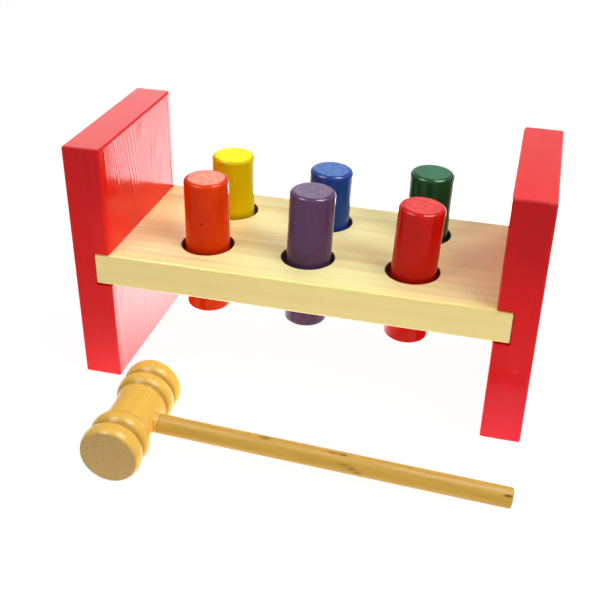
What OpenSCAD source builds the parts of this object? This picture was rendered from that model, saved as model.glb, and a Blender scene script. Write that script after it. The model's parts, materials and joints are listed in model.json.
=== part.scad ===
// Peg pounding bench: two end panels, a board with six pegs in it, and a turned mallet.
// X runs along the board, the front is at -Y, and everything stands on Z = 0.

/* [Bench] */
// Length over both end panels
bench_length = 251; // [220:1:340]
// Depth of the bench from front to back
bench_depth = 100; // [92:1:150]
// Height of the end panels
bench_height = 140; // [100:1:200]
// Thickness of an end panel
panel_thickness = 21.5; // [16:0.5:30]
// Thickness of the board
board_thickness = 19; // [15:0.5:26]
// Rounding of the panels' edges
panel_ease = 1.2; // [0.4:0.1:3]
// Rounding of the board's long edges
board_ease = 2; // [0.5:0.1:4]

/* [Dado joint] */
// How far the board's end is let into a panel
dado_depth = 9; // [4:0.5:12]
// Room left under the board in the dado
dado_slack = 0.8; // [0.1:0.1:1.5]
// Room left between the board's end and the bottom of the dado
dado_end_gap = 0.5; // [0.1:0.1:1]

/* [Screws] */
// Diameter of a screw's shank
screw_shank_d = 4; // [3:0.5:5]
// Length of a screw over its head
screw_length = 35; // [25:1:45]
// Diameter of a screw's countersunk head
screw_head_d = 7.6; // [6.5:0.1:9]
// Distance between the two screws of one end
screw_spacing = 60; // [30:1:75]
// Clearance round a screw in its hole
screw_fit = 0.05; // [0.02:0.01:0.2]

/* [Pegs] */
// Diameter of a peg
peg_d = 24.5; // [18:0.5:30]
// Length of a peg
peg_length = 77.5; // [60:0.5:100]
// Rounding round a peg's flat ends
peg_ease = 2.6; // [0.5:0.1:4]
// Gap between a peg and the wall of its hole
peg_play = 2.25; // [1:0.05:3]
// Distance between pegs along a row
peg_pitch = 57.5; // [42:0.5:64]
// Distance between the front row and the back row
row_spacing = 46; // [40:0.5:50]
// How far both rows sit behind the middle of the board
row_shift = 2; // [0:0.5:4]
// Chamfer round the mouths of the holes
hole_ease = 0.6; // [0.2:0.1:1.5]

/* [Peg heights] */
// How far the orange peg stands above the board
orange_rise = 39.5; // [5:0.5:55]
// How far the purple peg stands above the board
purple_rise = 39.5; // [5:0.5:55]
// How far the red peg stands above the board
red_rise = 38.5; // [5:0.5:55]
// How far the yellow peg stands above the board
yellow_rise = 35; // [5:0.5:55]
// How far the blue peg stands above the board
blue_rise = 33; // [5:0.5:55]
// How far the green peg stands above the board
green_rise = 38; // [5:0.5:55]

/* [Peg leans] */
// How far the orange peg leans to the right in its ring, in degrees
orange_lean = 0.5; // [-3:0.5:3]
// How far the purple peg leans to the right in its ring, in degrees
purple_lean = 2.5; // [-3:0.5:3]
// How far the red peg leans to the right in its ring, in degrees
red_lean = 3; // [-3:0.5:3]
// How far the yellow peg leans to the right in its ring, in degrees
yellow_lean = 1; // [-3:0.5:3]
// How far the blue peg leans to the right in its ring, in degrees
blue_lean = 2.5; // [-3:0.5:3]
// How far the green peg leans to the right in its ring, in degrees
green_lean = 1.5; // [-3:0.5:3]

/* [Grip rings] */
// How deep a ring sits in the groove of its hole
groove_depth = 1.3; // [0.8:0.1:2.5]
// Clearance between a ring and its peg
ring_fit = 0.05; // [0.02:0.01:0.1]
// Clearance between a ring and its groove
groove_fit = 0.05; // [0.02:0.01:0.2]

/* [Mallet] */
// Length of the mallet's head
head_length = 66; // [54:1:90]
// Diameter over the two end beads
end_bead_d = 32; // [30.5:0.5:40]
// Diameter over the two inner beads
inner_bead_d = 31.5; // [30:0.5:40]
// Width of an end bead
end_bead_width = 10.5; // [6:0.5:14]
// How far an end bead's crown lies from the groove beside it
end_crown_at = 5.9; // [4:0.1:7]
// Width of an inner bead
inner_bead_width = 10.5; // [5:0.5:12]
// Diameter at the bottom of the grooves beside the beads
valley_d = 27.4; // [26:0.2:29]
// Diameter of the neck where it meets the inner beads
neck_end_d = 27; // [25:0.2:29]
// How far the neck is hollowed at its middle
neck_hollow = 0.7; // [0.2:0.1:3]
// Diameter of the handle
handle_d = 10.5; // [8:0.5:13]
// Length of the handle over all
handle_length = 203; // [150:1:260]
// Rounding of the handle's free end
handle_ease = 1.2; // [0.4:0.1:2]
// How far the socket runs past the middle of the head
socket_past = 6.5; // [3:0.5:8]
// Room left under the handle in its socket
socket_gap = 0.5; // [0.2:0.1:1]
// Clearance round the handle in its socket
socket_fit = 0.1; // [0.05:0.01:0.2]

/* [Place of the mallet] */
// How far the middle of its head lies left of the bench's middle
mallet_left = 72; // [0:1:100]
// How far the middle of its head lies in front of the bench
mallet_ahead = 54; // [40:1:150]
// How far the mallet is turned from square with the bench, in degrees
mallet_turn = 1; // [-8:0.5:8]

/* [Hidden] */
$fn = 64;

// Cuts run past the solid by this much
overrun = 1;

panel_red = [0.78, 0.13, 0.16];
pine = [0.89, 0.78, 0.53];
honey_wood = [0.91, 0.70, 0.33];
handle_wood = [0.80, 0.65, 0.32];
black_rubber = [0.10, 0.10, 0.10];
zinc = [0.72, 0.72, 0.70];

// Heights of the board: its screws and the rings of its pegs are at mid depth
board_mid = bench_height / 2;
board_top = board_mid + board_thickness / 2;
board_foot = board_top - board_thickness;
dado_foot = board_foot - dado_slack;

// Places along X
panel_inside = bench_length / 2 - panel_thickness;
dado_end = panel_inside + dado_depth;
board_end = dado_end - dado_end_gap;

// Columns of pegs run from left to right, rows from front to back
column_x = [-peg_pitch, 0, peg_pitch];
front_row_y = row_shift - row_spacing / 2;
back_row_y = row_shift + row_spacing / 2;
peg_spots = [
    for (y = [front_row_y, back_row_y])
        for (x = column_x)
            [x, y]
];
orange_spot = peg_spots[0];
purple_spot = peg_spots[1];
red_spot = peg_spots[2];
yellow_spot = peg_spots[3];
blue_spot = peg_spots[4];
green_spot = peg_spots[5];

// The flat end of a peg cuts its rounding off at this share
peg_ease_share = 0.92;
peg_r = peg_d / 2;

// A ring fills the gap round its peg and the depth of its groove
hole_r = peg_r + peg_play;
ring_inner_r = peg_r + ring_fit;
ring_cord = hole_r + groove_depth - groove_fit - ring_inner_r;
ring_mid_r = ring_inner_r + ring_cord / 2;
groove_width = ring_cord + 2 * groove_fit;

// A countersunk head is a right-angled cone, so its height is its overhang
screw_shank_r = screw_shank_d / 2;
screw_head_r = screw_head_d / 2;
screw_tip_height = screw_shank_d;
screw_tip_share = 0.15;

// The head of the mallet, measured from its middle
head_half = head_length / 2;
groove_at = head_half - end_bead_width;
neck_half = groove_at - inner_bead_width;
end_bead_r = end_bead_d / 2;
inner_bead_r = inner_bead_d / 2;
valley_r = valley_d / 2;
neck_end_r = neck_end_d / 2;
neck_waist_r = neck_end_r - neck_hollow;
handle_r = handle_d / 2;
handle_reach = handle_length - (socket_past - socket_gap);

// An end bead's arc runs over its crown and is cut off by the end face
end_bead_arc_r = arc_radius(2 * end_crown_at, end_bead_r - valley_r);
face_from_crown = end_bead_width - end_crown_at;
face_r = end_bead_r - end_bead_arc_r + sqrt(pow(end_bead_arc_r, 2) - pow(face_from_crown, 2));

// The mallet lies on its beads and on the rounded rim of its handle's end
rest_r = max(end_bead_r, inner_bead_r);
rim_reach = handle_reach - handle_ease;
rim_r = handle_r - handle_ease;
handle_slope = asin((rest_r - handle_ease) / norm([rim_reach, rim_r])) - atan(rim_r / rim_reach);

// The origin is under the middle of the whole set, so the bench stands a little behind it
set_back = bench_depth / 2;
set_front = -bench_depth / 2 - mallet_ahead
    - head_half * cos(mallet_turn) - face_r * abs(sin(mallet_turn));
bench_y = -(set_back + set_front) / 2;
mallet_y = bench_y - bench_depth / 2 - mallet_ahead;

// Radius of an arc from its width and its rise
function arc_radius(width, rise) = (pow(width / 2, 2) + pow(rise, 2)) / (2 * rise);

// A rectangle in the middle of its plane with its corners rounded
module rounded_rectangle(width, height, radius) {
    square([width - 2 * radius, height], center = true);
    square([width, height - 2 * radius], center = true);
    for (x = [-1, 1])
        for (y = [-1, 1])
            translate([x * (width / 2 - radius), y * (height / 2 - radius)])
                circle(r = radius);
}

// A block in the middle of its place with all its edges rounded
module eased_block(size, radius) {
    intersection() {
        linear_extrude(size.z, center = true)
            rounded_rectangle(size.x, size.y, radius);
        rotate([90, 0, 0])
            linear_extrude(size.y, center = true)
                rounded_rectangle(size.x, size.z, radius);
        rotate([90, 0, 90])
            linear_extrude(size.x, center = true)
                rounded_rectangle(size.y, size.z, radius);
    }
}

// The place of one screw of the right-hand end, on the panel's outer face, pointing inwards
module at_screw(side) {
    translate([bench_length / 2, side * screw_spacing / 2, board_mid])
        rotate([0, -90, 0])
            children();
}

// A screw that stands on its head, grown all over by a clearance
module screw_shape(grown) {
    head_r = screw_head_r + grown;
    shank_r = screw_shank_r + grown;
    shank_length = screw_length - screw_tip_height + grown;
    cylinder(h = head_r - shank_r, r1 = head_r, r2 = shank_r);
    cylinder(h = shank_length, r = shank_r);
    translate([0, 0, shank_length])
        cylinder(h = screw_tip_height, r1 = shank_r, r2 = shank_r * screw_tip_share);
}

// The holes of both screws of the right-hand end, through the panel and into the board
module screw_holes() {
    for (side = [-1, 1])
        at_screw(side) {
            screw_shape(screw_fit);
            translate([0, 0, -overrun])
                cylinder(h = overrun, r = screw_head_r + screw_fit);
        }
}

// The right-hand panel, with its dado towards the middle of the bench
module panel_shape() {
    difference() {
        translate([bench_length / 2 - panel_thickness / 2, 0, bench_height / 2])
            eased_block([panel_thickness, bench_depth, bench_height], panel_ease);
        translate([panel_inside - overrun, -bench_depth / 2 - overrun, dado_foot])
            cube([dado_depth + overrun, bench_depth + 2 * overrun, board_top - dado_foot]);
        screw_holes();
    }
}

module left_end_panel() {
    color(panel_red)
        translate([0, bench_y, 0])
            mirror([1, 0, 0])
                panel_shape();
}

module right_end_panel() {
    color(panel_red)
        translate([0, bench_y, 0])
            panel_shape();
}

// A peg hole with its two chamfered mouths and the groove for its ring, centred on its axis
module hole_cut() {
    cylinder(h = board_thickness + 2 * overrun, r = hole_r, center = true);
    cylinder(h = groove_width, r = hole_r + groove_depth, center = true);
    for (side = [0, 1])
        mirror([0, 0, side])
            translate([0, 0, board_thickness / 2 - hole_ease])
                cylinder(h = hole_ease + overrun, r1 = hole_r, r2 = hole_r + hole_ease + overrun);
}

module bench_board() {
    color(pine)
        translate([0, bench_y, 0])
            difference() {
                translate([0, 0, board_mid])
                    rotate([90, 0, 90])
                        linear_extrude(2 * board_end, center = true)
                            rounded_rectangle(bench_depth, board_thickness, board_ease);
                for (spot = peg_spots)
                    translate([spot.x, spot.y, board_mid])
                        hole_cut();
                for (side = [0, 1])
                    mirror([side, 0, 0])
                        screw_holes();
            }
}

module grip_ring(spot) {
    color(black_rubber)
        translate([spot.x, bench_y + spot.y, board_mid])
            rotate_extrude()
                translate([ring_mid_r, 0])
                    circle(d = ring_cord);
}

module screw(end_side, row_side) {
    color(zinc)
        translate([0, bench_y, 0])
            mirror([end_side < 0 ? 1 : 0, 0, 0])
                at_screw(row_side)
                    screw_shape(0);
}

// A dowel that stands on its end, with both ends rounded up to where the flat cuts the arc off
module eased_dowel(radius, height, ease, ease_share) {
    ease_rise = ease * ease_share;
    rotate_extrude()
        intersection() {
            square([radius, height]);
            union() {
                square([radius - ease, height]);
                translate([0, ease_rise])
                    square([radius, height - 2 * ease_rise]);
                for (y = [ease_rise, height - ease_rise])
                    translate([radius - ease, y])
                        circle(r = ease);
            }
        }
}

// A peg, tipped about the middle of its ring
module peg(spot, rise, lean, paint) {
    color(paint)
        translate([spot.x, bench_y + spot.y, board_mid])
            rotate([0, lean, 0])
                translate([0, 0, board_thickness / 2 + rise - peg_length])
                    eased_dowel(peg_r, peg_length, peg_ease, peg_ease_share);
}

// Moves what is drawn round the middle of the head, handle along +X, to where the mallet lies
module lay_mallet() {
    translate([-mallet_left, mallet_y, rest_r])
        rotate([0, handle_slope, mallet_turn])
            children();
}

// Half outline of a bead: the axis is at X = 0 and the bead runs along Y from its start
module bead_outline(start, width, crown_at, crown_r, root_r) {
    arc_r = arc_radius(2 * crown_at, crown_r - valley_r);
    translate([0, start])
        square([root_r, width]);
    intersection() {
        translate([0, start])
            square([crown_r, width]);
        translate([crown_r - arc_r, start + crown_at])
            circle(r = arc_r);
    }
}

// Half outline of the neck, hollowed by one arc
module neck_outline() {
    arc_r = arc_radius(2 * neck_half, neck_end_r - neck_waist_r);
    difference() {
        translate([0, -neck_half])
            square([neck_end_r, 2 * neck_half]);
        translate([neck_waist_r + arc_r, 0])
            circle(r = arc_r, $fn = 256);
    }
}

module mallet_head() {
    color(honey_wood)
        lay_mallet()
            difference() {
                rotate([90, 0, 0])
                    rotate_extrude() {
                        neck_outline();
                        for (side = [0, 1])
                            mirror([0, side]) {
                                bead_outline(neck_half, inner_bead_width, inner_bead_width / 2,
                                    inner_bead_r, valley_r);
                                bead_outline(groove_at, end_bead_width, end_crown_at,
                                    end_bead_r, min(valley_r, face_r));
                            }
                    }
                translate([-socket_past, 0, 0])
                    rotate([0, 90, 0])
                        cylinder(h = socket_past + end_bead_r, r = handle_r + socket_fit);
            }
}

module mallet_handle() {
    color(handle_wood)
        lay_mallet()
            translate([socket_gap - socket_past, 0, 0])
                rotate([0, 90, 0])
                    eased_dowel(handle_r, handle_length, handle_ease, 1);
}

left_end_panel();
right_end_panel();
bench_board();
grip_ring(orange_spot);  // grip_ring_orange
grip_ring(purple_spot);  // grip_ring_purple
grip_ring(red_spot);  // grip_ring_red
grip_ring(yellow_spot);  // grip_ring_yellow
grip_ring(blue_spot);  // grip_ring_blue
grip_ring(green_spot);  // grip_ring_green
screw(-1, -1);  // left_front_screw
screw(-1, 1);  // left_back_screw
screw(1, -1);  // right_front_screw
screw(1, 1);  // right_back_screw
peg(orange_spot, orange_rise, orange_lean, "orangered");  // peg_orange
peg(purple_spot, purple_rise, purple_lean, "mediumpurple");  // peg_purple
peg(red_spot, red_rise, red_lean, "crimson");  // peg_red
peg(yellow_spot, yellow_rise, yellow_lean, "gold");  // peg_yellow
peg(blue_spot, blue_rise, blue_lean, "royalblue");  // peg_blue
peg(green_spot, green_rise, green_lean, "seagreen");  // peg_green
mallet_head();
mallet_handle();
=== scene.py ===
import bmesh
import bpy
import json
import math
from mathutils import Matrix, Vector


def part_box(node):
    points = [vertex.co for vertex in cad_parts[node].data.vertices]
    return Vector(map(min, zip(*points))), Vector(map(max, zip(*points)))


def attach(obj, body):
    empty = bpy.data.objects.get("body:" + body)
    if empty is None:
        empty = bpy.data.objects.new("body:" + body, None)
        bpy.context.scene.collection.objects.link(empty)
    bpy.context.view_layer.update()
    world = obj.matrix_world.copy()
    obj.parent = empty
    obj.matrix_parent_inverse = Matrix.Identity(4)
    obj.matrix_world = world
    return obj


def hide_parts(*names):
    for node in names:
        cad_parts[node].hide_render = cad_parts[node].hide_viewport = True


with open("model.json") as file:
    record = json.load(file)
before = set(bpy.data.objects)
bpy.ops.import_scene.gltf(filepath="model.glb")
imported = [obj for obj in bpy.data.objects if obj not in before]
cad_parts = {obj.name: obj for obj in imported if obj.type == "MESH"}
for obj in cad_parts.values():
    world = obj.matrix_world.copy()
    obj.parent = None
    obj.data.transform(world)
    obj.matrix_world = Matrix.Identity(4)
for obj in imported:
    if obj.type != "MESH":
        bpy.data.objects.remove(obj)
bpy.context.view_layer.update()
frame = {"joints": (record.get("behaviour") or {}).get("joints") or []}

mm = 0.001
weldReach = 0.002 * mm  # points nearer than this are one point
cutterPast = 1 * mm  # how far a cutter stands out of what it cuts
flatWeight = 80  # how strongly a large face sets the normals at its edges, of 100

leftLow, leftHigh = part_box("left_end_panel")
rightLow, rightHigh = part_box("right_end_panel")
boardLow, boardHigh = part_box("bench_board")
headLow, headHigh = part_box("mallet_head")
benchMid = Vector((0, (boardLow.y + boardHigh.y) / 2, 0))
pegColours = ("orange", "purple", "red", "yellow", "blue", "green")
pegBoxes = {colour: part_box("peg_" + colour) for colour in pegColours}
ringBoxes = {colour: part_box("grip_ring_" + colour) for colour in pegColours}
pegAxes = {joint["child"]: Vector(joint["axis"]) for joint in frame["joints"]}
print("frame read")


# Piece helpers

def addPiece(name, mesh, material, node, body):
    piece = bpy.data.objects.new(name, mesh)
    bpy.context.scene.collection.objects.link(piece)
    mesh.materials.clear()
    mesh.materials.append(material)
    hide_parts(node)
    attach(piece, body)
    return piece


def meshFrom(bm, name):
    bmesh.ops.recalc_face_normals(bm, faces=bm.faces[:])
    mesh = bpy.data.meshes.new(name)
    bm.to_mesh(mesh)
    bm.free()
    return mesh


def cutMesh(mesh, cutters):
    # takes each cutter away from the mesh with a live boolean, then keeps the result
    body = bpy.data.objects.new("cutBody", mesh)
    bpy.context.scene.collection.objects.link(body)
    tools = []
    for cutter in cutters:
        tool = bpy.data.objects.new("cutter", cutter)
        bpy.context.scene.collection.objects.link(tool)
        step = body.modifiers.new("cut", "BOOLEAN")
        step.operation = "DIFFERENCE"
        step.solver = "EXACT"
        step.object = tool
        tools.append(tool)
    bpy.context.view_layer.update()
    finished = body.evaluated_get(bpy.context.evaluated_depsgraph_get())
    cut = bpy.data.meshes.new_from_object(finished)
    for used in tools + [body]:
        bpy.data.objects.remove(used)
    return cut


def smoothShade(piece, sharpAngle):
    # smooth faces, crisp edges above an angle, and normals that keep the flats flat
    mesh = piece.data
    for face in mesh.polygons:
        face.use_smooth = True
    mesh.set_sharp_from_angle(angle=math.radians(sharpAngle))
    flats = piece.modifiers.new("flats", "WEIGHTED_NORMAL")
    flats.keep_sharp = True
    flats.weight = flatWeight


def boxMesh(low, high, name="block", ease=0, segments=1, edgeTest=None):
    # a block from corner to corner, with the chosen edges rounded
    bm = bmesh.new()
    bmesh.ops.create_cube(bm, size=1)
    bmesh.ops.scale(bm, vec=high - low, verts=bm.verts[:])
    bmesh.ops.translate(bm, vec=(low + high) / 2, verts=bm.verts[:])
    if ease:
        edges = [edge for edge in bm.edges if edgeTest is None or edgeTest(edge)]
        bmesh.ops.bevel(bm, geom=edges, offset=ease, segments=segments, profile=0.5,
                        affect="EDGES", material=-1, clamp_overlap=True)
    return meshFrom(bm, name)


def turnedMesh(outline, steps, turn, name):
    # spins a half outline of (radius, height) points round Z, then puts it where turn says
    bm = bmesh.new()
    points = [bm.verts.new((radius, 0, height)) for radius, height in outline]
    edges = [bm.edges.new(pair) for pair in zip(points, points[1:])]
    bmesh.ops.spin(bm, geom=points + edges, cent=(0, 0, 0), axis=(0, 0, 1),
                   angle=math.tau, steps=steps, use_merge=True)
    bmesh.ops.remove_doubles(bm, verts=bm.verts[:], dist=weldReach)
    bmesh.ops.transform(bm, matrix=turn, verts=bm.verts[:])
    return meshFrom(bm, name)


def arcPoints(centre, radius, startAngle, endAngle, steps, reach=None):
    # an arc in the outline's plane, in degrees from the radius axis; reach stretches its height
    tall = radius if reach is None else reach
    angles = [math.radians(startAngle + (endAngle - startAngle) * i / steps) for i in range(steps + 1)]
    return [(centre[0] + radius * math.cos(a), centre[1] + tall * math.sin(a)) for a in angles]


# Material helpers

def addNode(tree, kind, settings=None, **inputs):
    # an input goes by its socket's name, or by i and its number
    node = tree.nodes.new("ShaderNode" + kind)
    for key, value in (settings or {}).items():
        setattr(node, key, value)
    for key, value in inputs.items():
        known = key in node.inputs
        socket = node.inputs[key] if known else node.inputs[int(key[1:])]
        if isinstance(value, bpy.types.NodeSocket):
            tree.links.new(value, socket)
        else:
            socket.default_value = value
    return node


def mathOf(tree, operation, a, b=0.0):
    return addNode(tree, "Math", {"operation": operation}, i0=a, i1=b).outputs[0]


def times(tree, a, b):
    return mathOf(tree, "MULTIPLY", a, b)


def plus(tree, a, b):
    return mathOf(tree, "ADD", a, b)


def vectorOf(tree, operation, a, b):
    return addNode(tree, "VectorMath", {"operation": operation}, i0=a, i1=b).outputs


def mixColour(tree, share, first, second):
    sockets = {}
    for key, value in (("i6", first), ("i7", second)):
        sockets[key] = value if isinstance(value, bpy.types.NodeSocket) else (*value, 1)
    return addNode(tree, "Mix", {"data_type": "RGBA"}, i0=share, **sockets).outputs[2]


def remap(tree, value, low, high, toLow=0.0, toHigh=1.0):
    return addNode(tree, "MapRange", {"interpolation_type": "SMOOTHSTEP"}, i0=value, i1=low, i2=high,
                   i3=toLow, i4=toHigh).outputs[0]


def startMaterial(name):
    material = bpy.data.materials.new(name)
    material.use_nodes = True
    tree = material.node_tree
    tree.nodes.clear()
    shader = addNode(tree, "BsdfPrincipled")
    output = addNode(tree, "OutputMaterial")
    tree.links.new(shader.outputs[0], output.inputs["Surface"])
    return material, tree, shader


def addBump(tree, shader, height, depth):
    bump = addNode(tree, "Bump", Strength=1.0, Distance=depth, Height=height)
    tree.links.new(bump.outputs[0], shader.inputs["Normal"])


def placeOn(tree):
    return addNode(tree, "TexCoord").outputs["Object"]


def lengthOf(tree, vector):
    return addNode(tree, "VectorMath", {"operation": "LENGTH"}, i0=vector).outputs[1]


def facing(tree, axis):
    # 1 where a face looks straight along the axis, 0 where it runs beside it
    normal = addNode(tree, "TexCoord").outputs["Normal"]
    return mathOf(tree, "ABSOLUTE", vectorOf(tree, "DOT_PRODUCT", normal, axis)[1])


def spot(tree, centre, radii, inner):
    # 1 inside a soft-edged ellipsoid on the piece, 0 outside it
    away = vectorOf(tree, "DIVIDE", vectorOf(tree, "SUBTRACT", placeOn(tree), centre)[0], radii)[0]
    return remap(tree, lengthOf(tree, away), inner, 1.0, 1.0, 0.0)


def fromAxis(tree, middle, axis):
    # how far a point lies along an axis from its middle, and how far away from the axis
    away = vectorOf(tree, "SUBTRACT", placeOn(tree), middle)[0]
    along = vectorOf(tree, "DOT_PRODUCT", away, axis)[1]
    onAxis = addNode(tree, "VectorMath", {"operation": "SCALE"}, i0=axis, Scale=along).outputs[0]
    return along, lengthOf(tree, vectorOf(tree, "SUBTRACT", away, onAxis)[0])


# Timber

# each pattern's waves per metre across and along the grain, its detail and its roughness
grainNoise = {"ripple": (150, 26, 2, 0.5), "fibre": (1400, 36, 3, 0.6), "streak": (120, 5, 3, 0.55),
              "cloud": (30, 10, 2, 0.5), "patch": (70, 18, 2, 0.5), "pore": (620, 620, 4, 0.75)}
# the values between which a pattern fades in
grainSpan = {"fibre": (0.4, 0.75), "streak": (0.5, 0.75), "cloud": (0.42, 0.65), "patch": (0.38, 0.6),
             "pore": (0.42, 0.66), "end": (0.86, 0.97), "endGloss": (0.9, 0.97),
             "edge": (0.02, 0.35), "edgeGloss": (0.0, 0.5)}
# what a timber has unless its own dictionary says otherwise
plainTimber = {"waviness": 0.125, "wanderDetail": 1.5, "lateWood": (0.15, 0.85, 0.88), "yearSpread": 0.6,
               "tilt": 0.0, "fibreRelief": 1.0, "markInner": 0.3, "markRelief": 0.0}


def grainSpace(tree, grain, pith, tilt):
    # object coordinates from the pith, turned so that Z runs along the grain
    turn = {"X": (0, -math.pi / 2, 0), "Y": (math.pi / 2, 0, 0), "Z": (math.radians(tilt), 0, 0)}[grain]
    centred = vectorOf(tree, "SUBTRACT", placeOn(tree), pith)[0]
    return addNode(tree, "Mapping", Vector=centred, Rotation=turn).outputs[0]


def noiseOf(tree, space, across, along, detail, roughness=0.5):
    # noise that is fine across the grain and long along it, about 0.5 in the middle
    stretched = vectorOf(tree, "MULTIPLY", space, (across, across, along))[0]
    return addNode(tree, "TexNoise", Vector=stretched, Scale=1.0, Detail=detail,
                   Roughness=roughness).outputs[0]


def growthRings(tree, space, wood):
    # the share of late wood: 0 in early wood, up to 1 at a ring's edge, and stronger in some years
    scale = wood["wanderScale"]
    wander = noiseOf(tree, space, scale, scale * wood["waviness"], wood["wanderDetail"])
    ripple = noiseOf(tree, space, *grainNoise["ripple"])
    radius = lengthOf(tree, vectorOf(tree, "MULTIPLY", space, (1, 1, 0))[0])
    bent = plus(tree, radius, times(tree, wander, wood["wander"]))
    bent = plus(tree, bent, times(tree, ripple, wood["ripple"]))
    years = mathOf(tree, "DIVIDE", bent, wood["ringWidth"])
    phase = mathOf(tree, "FRACT", years)
    riseFrom, riseTo, fallFrom = wood["lateWood"]
    rise = remap(tree, phase, riseFrom, riseTo)
    fall = remap(tree, phase, fallFrom, 1.0, 1.0, 0.0)
    year = mathOf(tree, "FLOOR", years)
    growth = addNode(tree, "TexWhiteNoise", {"noise_dimensions": "1D"}, W=year).outputs["Value"]
    strength = remap(tree, growth, 0.0, 1.0, 1.0 - wood["yearSpread"], 1.0)
    return times(tree, times(tree, rise, fall), strength)


def upperEdge(tree):
    # 1 on the rounded front and back edges of a top, 0 on the flat faces: where the painted edge shade
    # and the edge roughness go
    axes = addNode(tree, "SeparateXYZ", Vector=addNode(tree, "TexCoord").outputs["Normal"]).outputs
    outward = mathOf(tree, "ABSOLUTE", axes["Y"])
    slant = times(tree, outward, mathOf(tree, "MAXIMUM", axes["Z"], 0.0))
    return remap(tree, slant, *grainSpan["edge"])


def paintedGrooveShade(tree, wood):
    # painted shade in the grooves of a turned piece, where the beads shade each other: near its axis, but
    # not on its neck
    along, radius = fromAxis(tree, wood["middle"], wood["endAxis"])
    deep = remap(tree, radius, wood["grooveShadeFrom"], wood["grooveShadeTo"], wood["grooveShadeShare"], 0.0)
    neck = (wood["neckReach"] - wood["neckBlend"], wood["neckReach"] + wood["neckBlend"])
    return times(tree, deep, remap(tree, mathOf(tree, "ABSOLUTE", along), *neck))


def bareEnds(tree, space, wood, colour):
    # end grain a shade apart, with its darker pores
    ends = remap(tree, facing(tree, wood["endAxis"]), *grainSpan["end"])
    colour = mixColour(tree, times(tree, ends, wood["endShare"]), colour, wood["end"])
    pores = remap(tree, noiseOf(tree, space, *grainNoise["pore"]), *grainSpan["pore"])
    pores = times(tree, times(tree, pores, ends), wood["endMottle"])
    return mixColour(tree, pores, colour, wood["endPores"])


def handleCuff(tree, wood, colour):
    # the first stretch of a handle takes the head's colour, up to a thin dark line
    along = fromAxis(tree, wood["middle"], wood["endAxis"])[0]
    end = wood["cuffEnd"]
    cuff = remap(tree, along, end, end + wood["cuffBlend"], wood["cuffShare"], 0.0)
    colour = mixColour(tree, cuff, colour, wood["cuff"])
    line = mathOf(tree, "ABSOLUTE", mathOf(tree, "SUBTRACT", along, end))
    line = remap(tree, line, *wood["cuffLineSpan"], wood["cuffLineShare"], 0.0)
    return mixColour(tree, line, colour, wood["cuffLine"])


def woodRelief(tree, space, wood, rings, fibres):
    # how high the rings and fibres stand, lower in patches and on the end grain
    ringHeight = times(tree, rings, wood["ringRelief"])
    if "patchRelief" in wood:
        patches = noiseOf(tree, space, *grainNoise["patch"])
        patches = remap(tree, patches, *grainSpan["patch"], 1.0 - wood["patchRelief"], 1.0)
        ringHeight = times(tree, ringHeight, patches)
    if "endRelief" in wood:
        ends = remap(tree, facing(tree, wood["endAxis"]), *grainSpan["end"], 1.0, wood["endRelief"])
        ringHeight = times(tree, ringHeight, ends)
    return plus(tree, ringHeight, times(tree, fibres, wood["fibreRelief"]))


def woodMaterial(name, wood, marks=()):
    # sawn or turned timber: rings, streaks, fibres and clouds, then what the piece has of its own, and
    # the painted shade and light that some pieces carry in their groove, edge and mark colours
    wood = {**plainTimber, **wood}
    material, tree, shader = startMaterial(name)
    space = grainSpace(tree, wood["grain"], wood["pith"], wood["tilt"])
    rings = growthRings(tree, space, wood)
    fibres = noiseOf(tree, space, *grainNoise["fibre"])
    streaks = noiseOf(tree, space, *wood.get("streakNoise", grainNoise["streak"]))
    clouds = noiseOf(tree, space, *grainNoise["cloud"])
    colour = mixColour(tree, times(tree, rings, wood["ringShare"]), wood["light"], wood["dark"])
    for noise, part, tint in ((streaks, "streak", "dark"), (fibres, "fibre", "dark"),
                              (clouds, "cloud", "warm")):
        share = remap(tree, noise, *grainSpan[part], 0.0, wood[part + "Share"])
        colour = mixColour(tree, share, colour, wood[tint])
    # painted shade in the grooves of a turned head
    if "grooveShade" in wood:
        colour = mixColour(tree, paintedGrooveShade(tree, wood), colour, wood["grooveShade"])
    if "end" in wood:
        colour = bareEnds(tree, space, wood, colour)
    if "cuff" in wood:
        colour = handleCuff(tree, wood, colour)
    # painted shade: a deeper colour on the rounded upper edges than on the flats beside them
    if "edge" in wood:
        slant = upperEdge(tree)
        colour = mixColour(tree, times(tree, slant, wood["edgeShare"]), colour, wood["edge"])
    height = woodRelief(tree, space, wood, rings, fibres)
    # each mark is a blemish of the timber or a spot of painted light or shade, as its list says
    for mark in marks:
        share = spot(tree, mark["centre"], mark["radii"], mark.get("inner", wood["markInner"]))
        colour = mixColour(tree, times(tree, share, mark["share"]), colour, mark["colour"])
        height = plus(tree, height, times(tree, share, mark.get("relief", wood["markRelief"])))
    tree.links.new(colour, shader.inputs["Base Color"])
    addBump(tree, shader, height, wood["bumpDepth"])
    shader.inputs["Specular IOR Level"].default_value = wood["shine"]
    shader.inputs["Roughness"].default_value = wood["roughness"]
    if "endRoughness" in wood:
        rough = remap(tree, facing(tree, wood["endAxis"]), *grainSpan["endGloss"],
                      wood["roughness"], wood["endRoughness"])
        tree.links.new(rough, shader.inputs["Roughness"])
    if "edgeRoughness" in wood:
        rough = remap(tree, slant, *grainSpan["edgeGloss"], wood["roughness"], wood["edgeRoughness"])
        tree.links.new(rough, shader.inputs["Roughness"])
    return material


# End panels

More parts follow.
